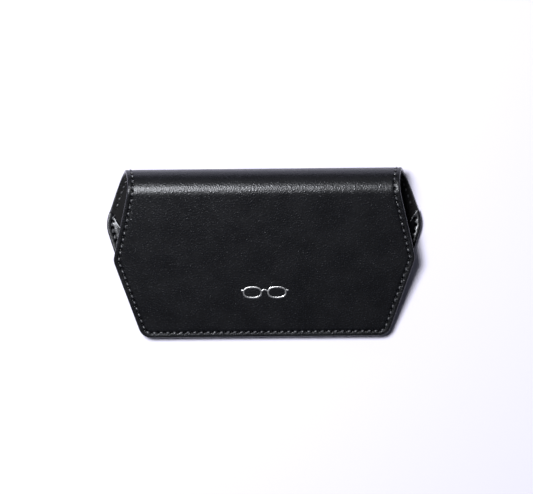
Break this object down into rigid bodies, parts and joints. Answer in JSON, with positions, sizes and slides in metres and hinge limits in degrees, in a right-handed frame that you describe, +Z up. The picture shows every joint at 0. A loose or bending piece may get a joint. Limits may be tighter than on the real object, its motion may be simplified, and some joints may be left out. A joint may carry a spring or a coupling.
{
  "type": "eyeglasses case",
  "caption": "Hexagonal envelope case for eyeglasses in black stitched leather, with a front pocket, a full-length flap on a rolled fold and hidden magnets.",
  "frame": {"origin": "on the table under the middle of the closed case, which lies on its back", "axes": "+Z up out of the table, +Y towards the rolled fold, +X to the right seen from above with the fold at the top"},
  "size_m": [0.1364, 0.0728, 0.019],
  "materials": {
    "outer_leather": "satin black pebble-grained leather",
    "lining": "matt microfibre suede",
    "board": "bonded leather board",
    "magnet": "nickel-plated",
    "thread": "waxed charcoal thread",
    "foil": "satin silver foil"
  },
  "bodies": {
    "pouch": {"back_outer_leather": "outer_leather", "back_stiffener_board": "board", "back_lining": "lining", "pocket_outer_leather": "outer_leather", "pocket_stiffener_board": "board", "pocket_lining": "lining", "pocket_magnet_left": "magnet", "pocket_magnet_right": "magnet", "pocket_seam_thread": "thread"},
    "fold_1": {"fold_leather_1": "outer_leather", "fold_lining_1": "lining"},
    "fold_2": {"fold_leather_2": "outer_leather", "fold_lining_2": "lining"},
    "fold_3": {"fold_leather_3": "outer_leather", "fold_lining_3": "lining"},
    "fold_4": {"fold_leather_4": "outer_leather", "fold_lining_4": "lining"},
    "fold_5": {"fold_leather_5": "outer_leather", "fold_lining_5": "lining"},
    "fold_6": {"fold_leather_6": "outer_leather", "fold_lining_6": "lining"},
    "fold_7": {"fold_leather_7": "outer_leather", "fold_lining_7": "lining"},
    "flap": {"flap_outer_leather": "outer_leather", "flap_stiffener_board": "board", "flap_lining": "lining", "flap_magnet_left": "magnet", "flap_magnet_right": "magnet", "flap_seam_thread": "thread", "foil_emblem": "foil"}
  },
  "joints": [
    {"name": "fold_bend_1", "type": "hinge", "parent": "pouch", "child": "fold_1", "pos_m": [0, 0.02874, 0.00088], "axis": [-1, 0, 0], "range_deg": [0, 24.1]},
    {"name": "fold_bend_2", "type": "hinge", "parent": "fold_1", "child": "fold_2", "pos_m": [0, 0.0321, 0.00238], "axis": [-1, 0, 0], "range_deg": [0, 24.1]},
    {"name": "fold_bend_3", "type": "hinge", "parent": "fold_2", "child": "fold_3", "pos_m": [0, 0.03455, 0.00513], "axis": [-1, 0, 0], "range_deg": [0, 24.1]},
    {"name": "fold_bend_4", "type": "hinge", "parent": "fold_3", "child": "fold_4", "pos_m": [0, 0.03567, 0.00863], "axis": [-1, 0, 0], "range_deg": [0, 24.1]},
    {"name": "fold_bend_5", "type": "hinge", "parent": "fold_4", "child": "fold_5", "pos_m": [0, 0.03526, 0.01229], "axis": [-1, 0, 0], "range_deg": [0, 24.1]},
    {"name": "fold_bend_6", "type": "hinge", "parent": "fold_5", "child": "fold_6", "pos_m": [0, 0.03339, 0.01546], "axis": [-1, 0, 0], "range_deg": [0, 24.1]},
    {"name": "fold_bend_7", "type": "hinge", "parent": "fold_6", "child": "fold_7", "pos_m": [0, 0.03039, 0.01759], "axis": [-1, 0, 0], "range_deg": [0, 24.1]},
    {"name": "flap_opening", "type": "hinge", "parent": "fold_7", "child": "flap", "pos_m": [0, 0.02678, 0.01831], "axis": [-1, 0, 0], "range_deg": [0, 24.1]}
  ],
  "couplings": [
    {"joint": "fold_bend_1", "follows": "flap_opening", "ratio": 1},
    {"joint": "fold_bend_2", "follows": "flap_opening", "ratio": 1},
    {"joint": "fold_bend_3", "follows": "flap_opening", "ratio": 1},
    {"joint": "fold_bend_4", "follows": "flap_opening", "ratio": 1},
    {"joint": "fold_bend_5", "follows": "flap_opening", "ratio": 1},
    {"joint": "fold_bend_6", "follows": "flap_opening", "ratio": 1},
    {"joint": "fold_bend_7", "follows": "flap_opening", "ratio": 1}
  ]
}
